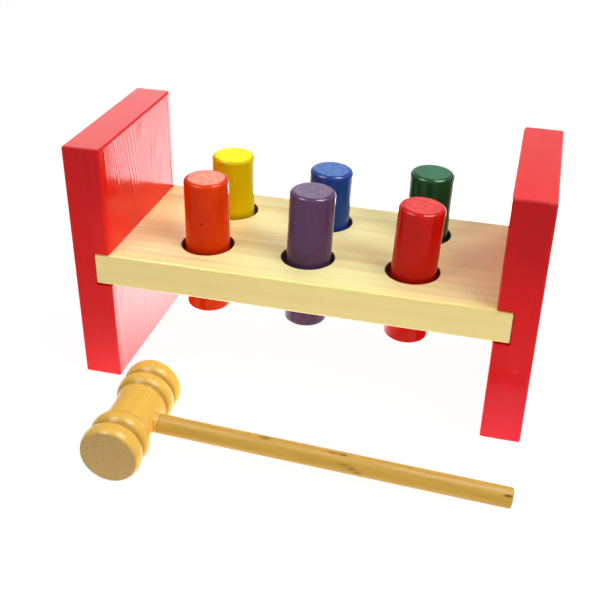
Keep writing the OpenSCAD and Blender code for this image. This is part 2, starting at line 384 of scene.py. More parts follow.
panelCare = {"ease": 1.2 * mm, "segments": 4, "boardSlack": 0.8 * mm, "endGap": 0.5 * mm, "sharp": 40,
             "rollWidth": 6 * mm, "rollAngle": 13, "rollSteps": 6, "rollNear": 0.001 * mm,
             "faceNear": 0.01 * mm}
screwCare = {"headRadius": 3.8 * mm, "shankRadius": 2.0 * mm, "length": 35 * mm, "spacing": 60 * mm,
             "play": 0.05 * mm, "crossWidth": 0.9 * mm, "crossReach": 2.1 * mm, "crossDepth": 1.3 * mm,
             "crossTurns": (20, 110), "rim": 0.1 * mm, "pitch": 1.8 * mm, "threadDepth": 0.5 * mm,
             "rootSpan": (0.4, 0.7), "smoothShank": 9 * mm, "tip": 4 * mm, "tipBlunt": 0.15,
             "holeSteps": 32, "steps": 40, "sharp": 35}
redLacquer = {"grain": "Z", "light": (0.82, 0.006, 0.008), "dark": (0.54, 0.002, 0.003),
              "warm": (0.70, 0.005, 0.002), "ringWidth": 2.4 * mm, "lateWood": (0.5, 0.76, 0.8),
              "ringShare": 0.14, "streakShare": 0.22, "fibreShare": 0.12, "cloudShare": 0.4,
              "wanderScale": 15, "waviness": 0.4, "yearSpread": 1.0, "ringRelief": 2.2,
              "fibreRelief": 0.5, "endAxis": (0, 0, 1), "bumpDepth": 0.05 * mm,
              # edge is a painted shade: a darker red on the rounded upper edges
              "roughness": 0.14, "shine": 0.15, "edge": (0.62, 0.005, 0.001), "edgeShare": 0.6,
              "edgeRoughness": 0.8}
leftWood = {**redLacquer, "pith": (-0.150, 0.078, 0.0), "tilt": -3.0, "wander": 26 * mm,
            "ripple": 2.2 * mm, "patchRelief": 0.85, "endRelief": 0.3}
rightWood = {**redLacquer, "pith": (0.07, -0.19, 0.0), "tilt": 2.0, "wander": 7 * mm,
             "ripple": 1.1 * mm, "ringWidth": 3.4 * mm, "waviness": 0.2, "patchRelief": 0.8,
             "endRelief": 0.5}
# places on each panel where the lacquer has its own shade, dent or wear, in metres, and spots of painted
# light and shade, each marked below
leftBlemishesAndPaintedLight = (
    # painted light: a warmer, brighter red on the inner face around the board, where the board's light
    # falls
    {"centre": (-0.104, 0.030, 0.079), "radii": (0.012, 0.095, 0.045), "share": 0.7, "inner": 0.1,
     "colour": (0.95, 0.022, 0.0005)},
    {"centre": (-0.1035, 0.0477, 0.1320), "radii": (0.004, 0.0075, 0.0070), "share": 0.8, "inner": 0.0,
     "colour": (0.80, 0.008, 0.001), "relief": 3.0},
    {"centre": (-0.1035, 0.0668, 0.1140), "radii": (0.004, 0.0090, 0.0110), "share": 0.8, "inner": 0.0,
     "colour": (0.80, 0.008, 0.001), "relief": 3.5},
    {"centre": (-0.1035, 0.0050, 0.0420), "radii": (0.004, 0.0080, 0.0110), "share": 0.8, "inner": 0.0,
     "colour": (0.70, 0.012, 0.001), "relief": 2.5},
    # painted light: a brighter crimson low on the front, where the floor lights it
    {"centre": (-0.1150, -0.0064, 0.0), "radii": (0.03, 0.004, 0.060), "share": 0.6, "inner": 0.1,
     "colour": (0.92, 0.020, 0.030)},
    # painted shade: a darker red high on the front
    {"centre": (-0.1150, -0.0064, 0.14), "radii": (0.03, 0.003, 0.06), "share": 0.35, "inner": 0.2,
     "colour": (0.48, 0.002, 0.005)},
)
rightBlemishesAndPaintedLight = (
    {"centre": (0.1096, -0.0064, 0.0500), "radii": (0.0070, 0.004, 0.009), "share": 0.45,
     "colour": (0.66, 0.008, 0.002)},
    {"centre": (0.1175, -0.0064, 0.0445), "radii": (0.0022, 0.003, 0.0013), "share": 0.2,
     "colour": (0.9, 0.1, 0.1), "relief": -14.0},
    {"centre": (0.1232, -0.0062, 0.1395), "radii": (0.0028, 0.0020, 0.0014), "share": 0.6, "inner": 0.4,
     "colour": (0.92, 0.08, 0.05)},
    # painted light: a brighter crimson low on the front, where the floor lights it
    {"centre": (0.1150, -0.0064, 0.0), "radii": (0.03, 0.004, 0.070), "share": 0.6, "inner": 0.1,
     "colour": (0.84, 0.036, 0.065)},
    # painted shade: a darker red high on the front
    {"centre": (0.1150, -0.0064, 0.14), "radii": (0.03, 0.003, 0.075), "share": 0.6, "inner": 0.2,
     "colour": (0.48, 0.002, 0.005)},
)


def screwPlaces(side):
    # the outer end of each of a panel's two screws, with local +Z into the board
    outer = leftLow.x if side < 0 else rightHigh.x
    for row in (-1, 1):
        across = benchMid.y + row * screwCare["spacing"] / 2
        place = Vector((outer, across, (leftLow.z + leftHigh.z) / 2))
        yield Matrix.Translation(place) @ Matrix.Rotation(-side * math.pi / 2, 4, "Y")


def screwHole(turn):
    head = screwCare["headRadius"] + screwCare["play"]
    shank = screwCare["shankRadius"] + screwCare["play"]
    outline = [(0, -cutterPast), (head, -cutterPast), (head, 0), (shank, head - shank),
               (shank, screwCare["length"]), (0, screwCare["length"])]
    return turnedMesh(outline, screwCare["holeSteps"], turn, "screwHole")


def rollEdges(mesh, side, inner, low, high):
    # the inner face's two upright edges are sanded off in a shallow roll that fades at the foot
    width, steps = panelCare["rollWidth"], panelCare["rollSteps"]
    radius = width / math.sin(math.radians(panelCare["rollAngle"]))
    bm = bmesh.new()
    bm.from_mesh(mesh)
    for edge, way in ((low.y, 1), (high.y, -1)):
        for step in range(1, steps + 1):
            bmesh.ops.bisect_plane(bm, geom=bm.verts[:] + bm.edges[:] + bm.faces[:],
                                   dist=panelCare["rollNear"], plane_no=(0, 1, 0),
                                   plane_co=(0, edge + way * width * step / steps, 0))
    for vert in bm.verts:
        reach = width - min(vert.co.y - low.y, high.y - vert.co.y)
        if reach > 0 and abs(vert.co.x - inner) < panelCare["ease"] + panelCare["faceNear"]:
            share = (vert.co.z - low.z) / (high.z - low.z)
            vert.co.x += side * share * (radius - math.sqrt(radius ** 2 - reach ** 2))
    bm.to_mesh(mesh)
    bm.free()


def makePanel(name, node, side, low, high, material):
    # a block with rolled edges, less the dado for the board and the two screw holes
    block = boxMesh(low, high, name, panelCare["ease"], panelCare["segments"])
    inner = high.x if side < 0 else low.x
    rollEdges(block, side, inner, low, high)
    overrun = 2 * cutterPast
    ends = (inner - side * overrun, side * (boardHigh.x + panelCare["endGap"]))
    dadoLow = Vector((min(ends), low.y - overrun, boardLow.z - panelCare["boardSlack"]))
    dadoHigh = Vector((max(ends), high.y + overrun, boardHigh.z))
    cutters = [boxMesh(dadoLow, dadoHigh)] + [screwHole(turn) for turn in screwPlaces(side)]
    piece = addPiece(name, cutMesh(block, cutters), material, node, "bench")
    smoothShade(piece, panelCare["sharp"])


makePanel("leftPanel", "left_end_panel", -1, leftLow, leftHigh,
          woodMaterial("leftLacquer", leftWood, leftBlemishesAndPaintedLight))
makePanel("rightPanel", "right_end_panel", 1, rightLow, rightHigh,
          woodMaterial("rightLacquer", rightWood, rightBlemishesAndPaintedLight))
print("end panels made")


# Board

boardCare = {"ease": 2.0 * mm, "segments": 6, "holePlay": 2.25 * mm, "holeEase": 0.6 * mm,
             "mouthSteps": 4, "holeSteps": 96, "grooveDepth": 1.3 * mm, "grooveWidth": 3.5 * mm,
             "longEdge": 1 * mm, "sharp": 35}
pineWood = {"grain": "X", "pith": (0.0, 0.062, 0.012), "light": (0.99, 0.89, 0.42),
            "dark": (0.76, 0.47, 0.155), "warm": (0.98, 0.78, 0.32), "ringWidth": 5.0 * mm,
            "ringShare": 0.32, "streakShare": 0.6, "streakNoise": (110, 5, 3, 0.55), "fibreShare": 0.16,
            "cloudShare": 0.35, "wander": 16 * mm, "wanderScale": 12, "ripple": 0.9 * mm,
            "ringRelief": 0.6, "bumpDepth": 0.05 * mm, "roughness": 0.42, "shine": 0.3,
            # edge is a painted shade: a deeper gold on the rounded upper edges
            "edge": (0.80, 0.60, 0.17), "edgeShare": 0.75}
# painted light and shade on the pine: redder towards the right end, paler at the left and the front,
# golden along the front edge
pinePaintedLight = (
    # painted light and shade: redder and darker by the right panel
    {"centre": (0.1035, 0.058, 0.0795), "radii": (0.060, 0.090, 0.006), "share": 0.75, "inner": 0.1,
     "colour": (0.84, 0.485, 0.275)},
    # painted light: paler at the left end of the top
    {"centre": (-0.0900, 0.015, 0.0795), "radii": (0.050, 0.060, 0.006), "share": 0.5, "inner": 0.1,
     "colour": (1.0, 0.90, 0.52)},
    # painted light: paler along the middle of the top's front
    {"centre": (0.0050, 0.000, 0.0795), "radii": (0.085, 0.026, 0.006), "share": 0.6, "inner": 0.1,
     "colour": (1.0, 0.99, 0.46)},
    # painted shade: a deeper gold on the front face
    {"centre": (0.0, -0.0064, 0.0700), "radii": (1.0, 0.004, 0.020), "share": 0.7, "inner": 0.3,
     "colour": (0.99, 0.81, 0.32)},
    # painted shade: a golden band along the rounded front edge
    {"centre": (0.0, -0.0064, 0.0795), "radii": (1.0, 0.009, 0.005), "share": 0.5, "inner": 0.1,
     "colour": (0.99, 0.82, 0.25)},
)
# painted shade: a dark brown on the wall of each hole, where little light gets in
holeWallPaintedShade = {"share": 0.92, "colour": (0.16, 0.05, 0.015), "inner": 0.965, "height": 1.0}


def pegPlace(colour):
    # a peg stands in the middle of its box, leans along its slide, and is as wide as its box in Y
    low, high = pegBoxes[colour]
    return (low + high) / 2, pegAxes[colour + "_peg"], (high.y - low.y) / 2


def holeCutter(colour):
    # the hole with its eased mouths and the groove that the grip ring lies in
    axis = sum(ringBoxes[colour], Vector()) / 2
    radius = pegPlace(colour)[2] + boardCare["holePlay"]
    half = (boardHigh.z - boardLow.z) / 2
    ease = boardCare["holeEase"]
    groove = boardCare["grooveWidth"] / 2
    deep = radius + boardCare["grooveDepth"]
    mouth = arcPoints((radius + ease, half - ease), ease, 180, 90, boardCare["mouthSteps"])
    top = half + cutterPast
    upper = [(radius, groove)] + mouth + [(radius + ease, top), (0, top)]
    lower = [(r, -z) for r, z in reversed(upper)]
    outline = lower + [(deep, -groove), (deep, groove)] + upper
    turn = Matrix.Translation((axis.x, axis.y, boardLow.z + half))
    return turnedMesh(outline, boardCare["holeSteps"], turn, "hole")


def boardMaterial():
    # the pine, with painted shade on the wall of each hole
    marks = list(pinePaintedLight)
    for colour in pegColours:
        axis = sum(ringBoxes[colour], Vector()) / 2
        reach = pegPlace(colour)[2] + boardCare["holePlay"] + boardCare["holeEase"]
        marks.append({**holeWallPaintedShade, "centre": (axis.x, axis.y, boardLow.z),
                      "radii": (reach, reach, holeWallPaintedShade["height"])})
    return woodMaterial("pine", pineWood, marks)


def runsAlong(edge):
    # whether an edge of the block runs the length of the board
    return abs(edge.verts[0].co.x - edge.verts[1].co.x) > boardCare["longEdge"]


def makeBoard():
    block = boxMesh(boardLow, boardHigh, "board", boardCare["ease"], boardCare["segments"], runsAlong)
    cutters = [holeCutter(colour) for colour in pegColours]
    piece = addPiece("board", cutMesh(block, cutters), boardMaterial(), "bench_board", "bench")
    smoothShade(piece, boardCare["sharp"])


makeBoard()
print("board made")


# Pegs

pegCare = {"length": 77.5 * mm, "rimHigh": 2.3 * mm, "rimWide": 2.5 * mm, "rimSteps": 10, "steps": 96,
           "sharp": 18}
pegPaint = {**plainTimber, "roughness": 0.11, "endRoughness": 0.42, "bumpDepth": 0.05 * mm,
            "ringWidth": 2.1 * mm, "wander": 7 * mm, "wanderScale": 70, "ripple": 1.6 * mm,
            "rimDark": 2.5 * mm, "rimRagged": 1.6 * mm, "rimBlend": 0.5 * mm, "cloudShare": 0.5,
            "arcShare": 0.6, "endRelief": 1.6, "sideRelief": 0.1, "poreRelief": 1.2, "fibreRelief": 0.3}
paintNoise = {"fibre": (900, 30, 3, 0.65), "cloud": (90, 40, 3, 0.5), "paintedSheenRag": (260, 260, 2, 0.5),
              "pore": (420, 420, 4, 0.7), "patch": (130, 130, 2, 0.5)}
paintSpan = {"cloud": (0.4, 0.65), "pore": (0.4, 0.66), "patch": (0.42, 0.62), "end": (0.80, 0.95)}
# top is a painted reflection: the flat end paler, as if it mirrored the light above and behind; side and
# deep are the paint's own colours
pegPaints = {
    "orange": {"side": (0.78, 0.044, 0.0001), "deep": (0.68, 0.029, 0.0001), "top": (0.93, 0.40, 0.30),
               "pith": (-0.004, 0.016), "shine": 0.08, "mottle": 0.5},
    "purple": {"side": (0.111, 0.051, 0.127), "deep": (0.081, 0.033, 0.084), "top": (0.215, 0.165, 0.26),
               "pith": (0.009, 0.006), "shine": 0.14, "mottle": 0.6},
    "red": {"side": (0.63, 0.012, 0.004), "deep": (0.50, 0.006, 0.003), "top": (0.80, 0.085, 0.080),
            "pith": (-0.008, 0.009), "shine": 0.1, "mottle": 0.55},
    "yellow": {"side": (0.76, 0.54, 0.0006), "deep": (0.69, 0.455, 0.0004), "top": (0.97, 0.97, 0.004),
               "pith": (0.016, 0.010), "shine": 0.05, "mottle": 0.2, "rimDark": 1.3 * mm},
    "blue": {"side": (0.018, 0.063, 0.30), "deep": (0.012, 0.045, 0.225), "top": (0.10, 0.22, 0.56),
             "pith": (0.007, -0.010), "shine": 0.14, "mottle": 0.6},
    "green": {"side": (0.011, 0.084, 0.024), "deep": (0.007, 0.056, 0.015), "top": (0.031, 0.165, 0.08),
              "pith": (-0.008, 0.012), "shine": 0.14, "mottle": 0.6},
}
# painted shade: a small dark dot on the orange peg, for a pinhole that the mesh doesn't have
pinholeShade = {"peg": "orange", "centre": (-56.35 * mm, 10.4 * mm, 96.8 * mm), "radius": 0.75 * mm,
           "inner": 0.4, "colour": (0.05, 0.003, 0.001)}


def paintMaterial(colour, middle, lean, radius):
    # thick paint on a dowel: smooth round the side, rougher on the ends, where the grain stands through;
    # the ends' paler colour is a painted reflection, ragged short of the rim and broken by the grain
    material, tree, shader = startMaterial(colour + "Paint")
    paint = {**pegPaint, **pegPaints[colour]}
    pith = (middle.x + paint["pith"][0], middle.y + paint["pith"][1], 0)
    space = grainSpace(tree, "Z", pith, 0.0)
    rings = growthRings(tree, space, paint)
    fibres, clouds, paintedSheenRag, pores, patches = [noiseOf(tree, space, *paintNoise[part])
                                            for part in ("fibre", "cloud", "paintedSheenRag", "pore", "patch")]
    # the painted reflection stops short of the rim, with a ragged edge
    reach = plus(tree, fromAxis(tree, middle, lean)[1], times(tree, paintedSheenRag, paint["rimRagged"]))
    edge = radius - paint["rimDark"] + paint["rimRagged"] / 2
    onFlat = remap(tree, reach, edge - paint["rimBlend"], edge + paint["rimBlend"], 1.0, 0.0)
    ends = times(tree, remap(tree, facing(tree, lean), *paintSpan["end"]), onFlat)
    cloudy = remap(tree, clouds, *paintSpan["cloud"], 0.0, paint["cloudShare"])
    shade = mixColour(tree, cloudy, paint["side"], paint["deep"])
    # painted reflection: the flat ends take their paler top colour
    shade = mixColour(tree, ends, shade, paint["top"])
    # the grain breaks the painted reflection on the ends back towards the side colour
    arcs = times(tree, rings, remap(tree, patches, *paintSpan["patch"]))
    mottle = plus(tree, times(tree, arcs, paint["arcShare"]), remap(tree, pores, *paintSpan["pore"]))
    mottle = times(tree, times(tree, mottle, ends), paint["mottle"])
    shade = mixColour(tree, mottle, shade, paint["side"])
    # the orange peg's painted pinhole shade
    if colour == pinholeShade["peg"]:
        hole = spot(tree, pinholeShade["centre"], (pinholeShade["radius"],) * 3, pinholeShade["inner"])
        shade = mixColour(tree, hole, shade, pinholeShade["colour"])
    tree.links.new(shade, shader.inputs["Base Color"])
    roughness = remap(tree, ends, 0.0, 1.0, paint["roughness"], paint["endRoughness"])
    tree.links.new(roughness, shader.inputs["Roughness"])
    relief = plus(tree, times(tree, ends, paint["endRelief"]), paint["sideRelief"])
    grain = plus(tree, arcs, times(tree, pores, paint["poreRelief"]))
    height = plus(tree, times(tree, grain, relief), times(tree, fibres, paint["fibreRelief"]))
    addBump(tree, shader, height, paint["bumpDepth"])
    shader.inputs["Specular IOR Level"].default_value = paint["shine"]
    return material


def makePeg(colour):
    middle, lean, radius = pegPlace(colour)
    half = pegCare["length"] / 2
    wide, high = pegCare["rimWide"], pegCare["rimHigh"]
    upper = arcPoints((radius - wide, half - high), wide, 0, 90, pegCare["rimSteps"], high) + [(0, half)]
    outline = [(r, -z) for r, z in reversed(upper)] + upper
    place = Matrix.Translation(middle) @ lean.to_track_quat("Z", "Y").to_matrix().to_4x4()
    name = colour + "Peg"
    mesh = turnedMesh(outline, pegCare["steps"], place, name)
    piece = addPiece(name, mesh, paintMaterial(colour, middle, lean, radius), "peg_" + colour,
                     colour + "_peg")
    smoothShade(piece, pegCare["sharp"])


for colour in pegColours:
    makePeg(colour)
print("pegs made")


# Grip rings

ringCare = {"cordSteps": 20, "steps": 72, "sharp": 60}
rubberLook = {"dark": (0.012, 0.012, 0.012), "dusty": (0.035, 0.034, 0.032), "dust": (700, 700, 3, 0.5),
              "dustSpan": (0.45, 0.7), "bumpDepth": 0.03 * mm, "roughness": 0.6, "shine": 0.4}


def rubberMaterial():
    material, tree, shader = startMaterial("gripRubber")
    dust = noiseOf(tree, placeOn(tree), *rubberLook["dust"])
    colour = mixColour(tree, remap(tree, dust, *rubberLook["dustSpan"]), rubberLook["dark"],
                       rubberLook["dusty"])
    tree.links.new(colour, shader.inputs["Base Color"])
    addBump(tree, shader, dust, rubberLook["bumpDepth"])
    shader.inputs["Roughness"].default_value = rubberLook["roughness"]
    shader.inputs["Specular IOR Level"].default_value = rubberLook["shine"]
    return material


def makeRing(colour, rubber):
    low, high = ringBoxes[colour]
    cord = (high.z - low.z) / 2
    middle = (high.x - low.x) / 2 - cord
    outline = arcPoints((middle, 0), cord, 0, 360, ringCare["cordSteps"])
    name = colour + "Ring"
    mesh = turnedMesh(outline, ringCare["steps"], Matrix.Translation((low + high) / 2), name)
    piece = addPiece(name, mesh, rubber, "grip_ring_" + colour, "bench")
    smoothShade(piece, ringCare["sharp"])


gripRubber = rubberMaterial()
for colour in pegColours:
    makeRing(colour, gripRubber)
print("grip rings made")


# Screws, with the sizes that stand beside the panels

zincLook = {"dark": (0.50, 0.49, 0.45), "light": (0.68, 0.67, 0.64), "cloud": (900, 900, 4, 0.6),
            "span": (0.3, 0.7), "roughness": (0.28, 0.42), "bumpDepth": 0.01 * mm}


def zincMaterial():
    material, tree, shader = startMaterial("zincPlate")
    clouds = noiseOf(tree, placeOn(tree), *zincLook["cloud"])
    colour = mixColour(tree, remap(tree, clouds, *zincLook["span"]), zincLook["dark"], zincLook["light"])
    tree.links.new(colour, shader.inputs["Base Color"])
    rough = remap(tree, clouds, *zincLook["span"], *zincLook["roughness"])
    tree.links.new(rough, shader.inputs["Roughness"])
    shader.inputs["Metallic"].default_value = 1.0
    addBump(tree, shader, clouds, zincLook["bumpDepth"])
    return material


def screwOutline():
    # countersunk head, smooth shank, a thread in even steps, and a blunt tip
    head, shank, length = screwCare["headRadius"], screwCare["shankRadius"], screwCare["length"]
    pitch, rim = screwCare["pitch"], screwCare["rim"]
    rootFrom, rootTo = screwCare["rootSpan"]
    root = shank - screwCare["threadDepth"]
    threadStart = head - shank + screwCare["smoothShank"]
    outline = [(0, 0), (head - rim, 0), (head, rim), (shank, head - shank), (shank, threadStart)]
    for i in range(int((length - screwCare["tip"] - threadStart) / pitch)):
        start = threadStart + i * pitch
        outline += [(root, start + rootFrom * pitch), (root, start + rootTo * pitch),
                    (shank, start + pitch)]
    return outline + [(shank * screwCare["tipBlunt"], length), (0, length)]


def makeScrew(name, node, turn, zinc):
    solid = turnedMesh(screwOutline(), screwCare["steps"], turn, name)
    reach, half = screwCare["crossReach"], screwCare["crossWidth"] / 2
    slots = []
    for angle in screwCare["crossTurns"]:
        slot = boxMesh(Vector((-reach, -half, -cutterPast)),
                       Vector((reach, half, screwCare["crossDepth"])))
        slot.transform(turn @ Matrix.Rotation(math.radians(angle), 4, "Z"))
        slots.append(slot)
    piece = addPiece(name, cutMesh(solid, slots), zinc, node, "bench")
    smoothShade(piece, screwCare["sharp"])


zincPlate = zincMaterial()
for side, sideName in ((-1, "left"), (1, "right")):
    for turn, rowName in zip(screwPlaces(side), ("front", "back")):
        name = sideName + rowName.capitalize() + "Screw"
        makeScrew(name, f"{sideName}_{rowName}_screw", turn, zincPlate)
print("screws made")


# Mallet

malletCare = {"headLength": 66 * mm, "endBead": 16 * mm, "innerBead": 15.75 * mm,
              "endBeadWidth": 10.5 * mm, "innerBeadWidth": 10.5 * mm, "groove": 13.7 * mm,
              "endCrownAt": 5.9 * mm, "hollow": 0.9 * mm, "hollowFrom": 0.3, "neckEnd": 13.5 * mm,
              "neckWaist": 12.8 * mm, "handleRadius": 5.25 * mm, "handleLength": 203 * mm,
              "handleEase": 1.2 * mm, "socketPast": 6.5 * mm, "socketGap": 0.5 * mm,
              "socketPlay": 0.1 * mm, "socketReach": 20 * mm, "turn": 1.0, "neckSteps": 20,
              "innerSteps": 18, "endSteps": 22, "hollowSteps": 5, "easeSteps": 5, "headSteps": 128,
              "handleSteps": 72, "socketSteps": 64, "headSharp": 30, "handleSharp": 50}
# pithAt is the pith's place from the head's middle, in the mallet's own directions
headWood = {"grain": "Y", "pithAt": (24 * mm, 0, -14 * mm), "light": (0.89, 0.565, 0.105),
            "dark": (0.58, 0.31, 0.045), "warm": (0.89, 0.52, 0.078), "ringWidth": 2.4 * mm,
            "ringShare": 0.16, "streakShare": 0.2, "fibreShare": 0.2, "cloudShare": 0.5,
            "wander": 5 * mm, "wanderScale": 18, "ripple": 0.5 * mm, "ringRelief": 0.3,
            "bumpDepth": 0.03 * mm, "roughness": 0.29, "shine": 0.11, "end": (0.62, 0.405, 0.15),
            "endShare": 0.95, "endMottle": 0.36, "endPores": (0.44, 0.265, 0.09), "endRoughness": 0.6,
            # the groove shade is painted: a darker brown in the grooves between the beads
            "grooveShade": (0.46, 0.25, 0.035), "grooveShadeShare": 0.85, "grooveShadeFrom": 14.0 * mm,
            "grooveShadeTo": 15.7 * mm, "neckBlend": 1 * mm}
handleWood = {"grain": "X", "pithAt": (0, 16 * mm, -9 * mm), "light": (0.64, 0.38, 0.060),
              "dark": (0.37, 0.19, 0.02), "warm": (0.62, 0.36, 0.045), "ringWidth": 2.6 * mm,
              "ringShare": 0.22, "streakShare": 0.45, "fibreShare": 0.2, "cloudShare": 0.3,
              "wander": 5 * mm, "wanderScale": 16, "ripple": 0.5 * mm, "ringRelief": 0.3,
              "bumpDepth": 0.03 * mm, "roughness": 0.42, "shine": 0.16, "end": (0.42, 0.26, 0.09),
              "endShare": 0.6, "endMottle": 0.3, "endPores": (0.25, 0.14, 0.04),
              "cuff": (0.80, 0.44, 0.07), "cuffEnd": 15.1 * mm, "cuffBlend": 0.3 * mm, "cuffShare": 0.9,
              "cuffLine": (0.24, 0.13, 0.03), "cuffLineSpan": (0.1 * mm, 0.45 * mm),
              "cuffLineShare": 0.55}
# the handle's knots and dark flecks
handleMarks = (
    {"centre": (-0.0005, -0.0591, 0.0173), "radii": (0.0055, 0.0022, 0.0014), "share": 0.85, "inner": 0.0,
     "colour": (0.22, 0.075, 0.004)},
    {"centre": (0.0402, -0.0590, 0.0151), "radii": (0.0042, 0.0013, 0.0007), "share": 0.95, "inner": 0.0,
     "colour": (0.13, 0.04, 0.003)},
    {"centre": (0.0352, -0.0589, 0.0154), "radii": (0.0062, 0.0014, 0.0008), "share": 0.75, "inner": 0.0,
     "colour": (0.26, 0.09, 0.006)},
    {"centre": (0.0412, -0.0631, 0.0122), "radii": (0.0065, 0.0014, 0.0015), "share": 0.6, "inner": 0.0,
     "colour": (0.32, 0.14, 0.01)},
    {"centre": (0.0456, -0.0634, 0.0107), "radii": (0.0040, 0.0014, 0.0013), "share": 0.8, "inner": 0.0,
     "colour": (0.28, 0.11, 0.008)},
    {"centre": (0.0485, -0.0635, 0.0088), "radii": (0.0036, 0.0014, 0.0013), "share": 0.8, "inner": 0.0,
     "colour": (0.24, 0.10, 0.008)},
    {"centre": (0.1224, -0.0605, 0.0092), "radii": (0.0034, 0.0016, 0.0008), "share": 0.9,
     "colour": (0.12, 0.05, 0.008)},
)


def neckPoints(half, steps):
    # the arc from the waist out to one end of the neck
    rise = malletCare["neckEnd"] - malletCare["neckWaist"]
    radius = (half ** 2 + rise ** 2) / (2 * rise)
    spread = math.degrees(math.asin(half / radius))
    return arcPoints((malletCare["neckWaist"] + radius, 0), radius, 180, 180 - spread, steps)


def beadPoints(start, width, crownAt, crown, steps):
    # a bead as an arc of a circle that rises from the groove at start and crests at crownAt
    rise = crown - malletCare["groove"]
    radius = (crownAt ** 2 + rise ** 2) / (2 * rise)
    foot = math.degrees(math.asin(crownAt / radius))
    last = math.degrees(math.asin((width - crownAt) / radius))
    return arcPoints((crown - radius, start + crownAt), radius, -foot, last, steps)


def softenOutline(points, reach, steps):
    # swaps each hollow corner of the outline for a small curve
    soft = [points[0]]
    for before, corner, after in zip(points, points[1:], points[2:]):
        back = (Vector(before) - Vector(corner)).normalized()
        ahead = (Vector(after) - Vector(corner)).normalized()
        if back.x * ahead.y - back.y * ahead.x > malletCare["hollowFrom"]:
            first = Vector(corner) + back * min(reach, (Vector(before) - Vector(corner)).length)
            second = Vector(corner) + ahead * min(reach, (Vector(after) - Vector(corner)).length)
            for i in range(steps + 1):
                t = i / steps
                onCurve = first * (1 - t) ** 2 + Vector(corner) * 2 * t * (1 - t) + second * t ** 2
                soft.append(tuple(onCurve))
        else:
            soft.append(corner)
    return soft + [points[-1]]


def headOutline():
    # half of the turned head, from the waist to the face: neck, inner bead, groove, end bead
    half = malletCare["headLength"] / 2
    endWidth, innerWidth = malletCare["endBeadWidth"], malletCare["innerBeadWidth"]
    endStart = half - endWidth
    innerStart = endStart - innerWidth
    points = neckPoints(innerStart, malletCare["neckSteps"])
    points += beadPoints(innerStart, innerWidth, innerWidth / 2, malletCare["innerBead"],
                         malletCare["innerSteps"])
    points += beadPoints(endStart, endWidth, malletCare["endCrownAt"], malletCare["endBead"],
                         malletCare["endSteps"])[1:]
    return softenOutline(points, malletCare["hollow"], malletCare["hollowSteps"]) + [(0, half)]


def malletPlace():
    # the turn and place of the mallet: head along local Y, handle along local X and down to the floor
    reach = malletCare["handleLength"] - (malletCare["socketPast"] - malletCare["socketGap"])
    ease = malletCare["handleEase"]
    rim = malletCare["handleRadius"] - ease
    slope = (math.asin((malletCare["endBead"] - ease) / math.hypot(reach - ease, rim))
             - math.atan2(rim, reach - ease))
    spin = Matrix.Rotation(math.radians(malletCare["turn"]), 4, "Z") @ Matrix.Rotation(slope, 4, "Y")
    middle = Vector(((headLow.x + headHigh.x) / 2, (headLow.y + headHigh.y) / 2, malletCare["endBead"]))
    return Matrix.Translation(middle) @ spin


def malletFinish(wood, place, axis):
    # a timber set out from the mallet's middle, with its end grain across one of its own directions
    return {**wood, "pith": place @ Vector(wood["pithAt"]), "endAxis": place.to_3x3() @ Vector(axis),
            "middle": place.translation.copy()}


def makeHead(place, handleTurn):
    upper = headOutline()
    outline = [(r, -z) for r, z in reversed(upper)] + upper[1:]
    head = turnedMesh(outline, malletCare["headSteps"], place @ Matrix.Rotation(math.pi / 2, 4, "X"),
                      "malletHead")
    radius, past = malletCare["handleRadius"] + malletCare["socketPlay"], malletCare["socketPast"]
    reach = malletCare["socketReach"]
    socket = turnedMesh([(0, -past), (radius, -past), (radius, reach), (0, reach)],
                        malletCare["socketSteps"], handleTurn, "socket")
    finish = malletFinish(headWood, place, (0, 1, 0))
    neckReach = malletCare["headLength"] / 2 - malletCare["endBeadWidth"] - malletCare["innerBeadWidth"]
    material = woodMaterial("malletLacquer", {**finish, "neckReach": neckReach})
    piece = addPiece("malletHead", cutMesh(head, [socket]), material, "mallet_head", "mallet")
    smoothShade(piece, malletCare["headSharp"])


def makeHandle(place, handleTurn):
    radius, ease = malletCare["handleRadius"], malletCare["handleEase"]
    length, steps = malletCare["handleLength"], malletCare["easeSteps"]
    start = malletCare["socketGap"] - malletCare["socketPast"]
    outline = [(0, start)] + arcPoints((radius - ease, start + ease), ease, -90, 0, steps)
    outline += arcPoints((radius - ease, start + length - ease), ease, 0, 90, steps)
    outline += [(0, start + length)]
    mesh = turnedMesh(outline, malletCare["handleSteps"], handleTurn, "malletHandle")
    material = woodMaterial("handleLacquer", malletFinish(handleWood, place, (1, 0, 0)), handleMarks)
    piece = addPiece("malletHandle", mesh, material, "mallet_handle", "mallet")
    smoothShade(piece, malletCare["handleSharp"])


def makeMallet():
    place = malletPlace()
    handleTurn = place @ Matrix.Rotation(math.pi / 2, 4, "Y")
    makeHead(place, handleTurn)
    makeHandle(place, handleTurn)


makeMallet()
print("mallet made")


# Floor, light and camera

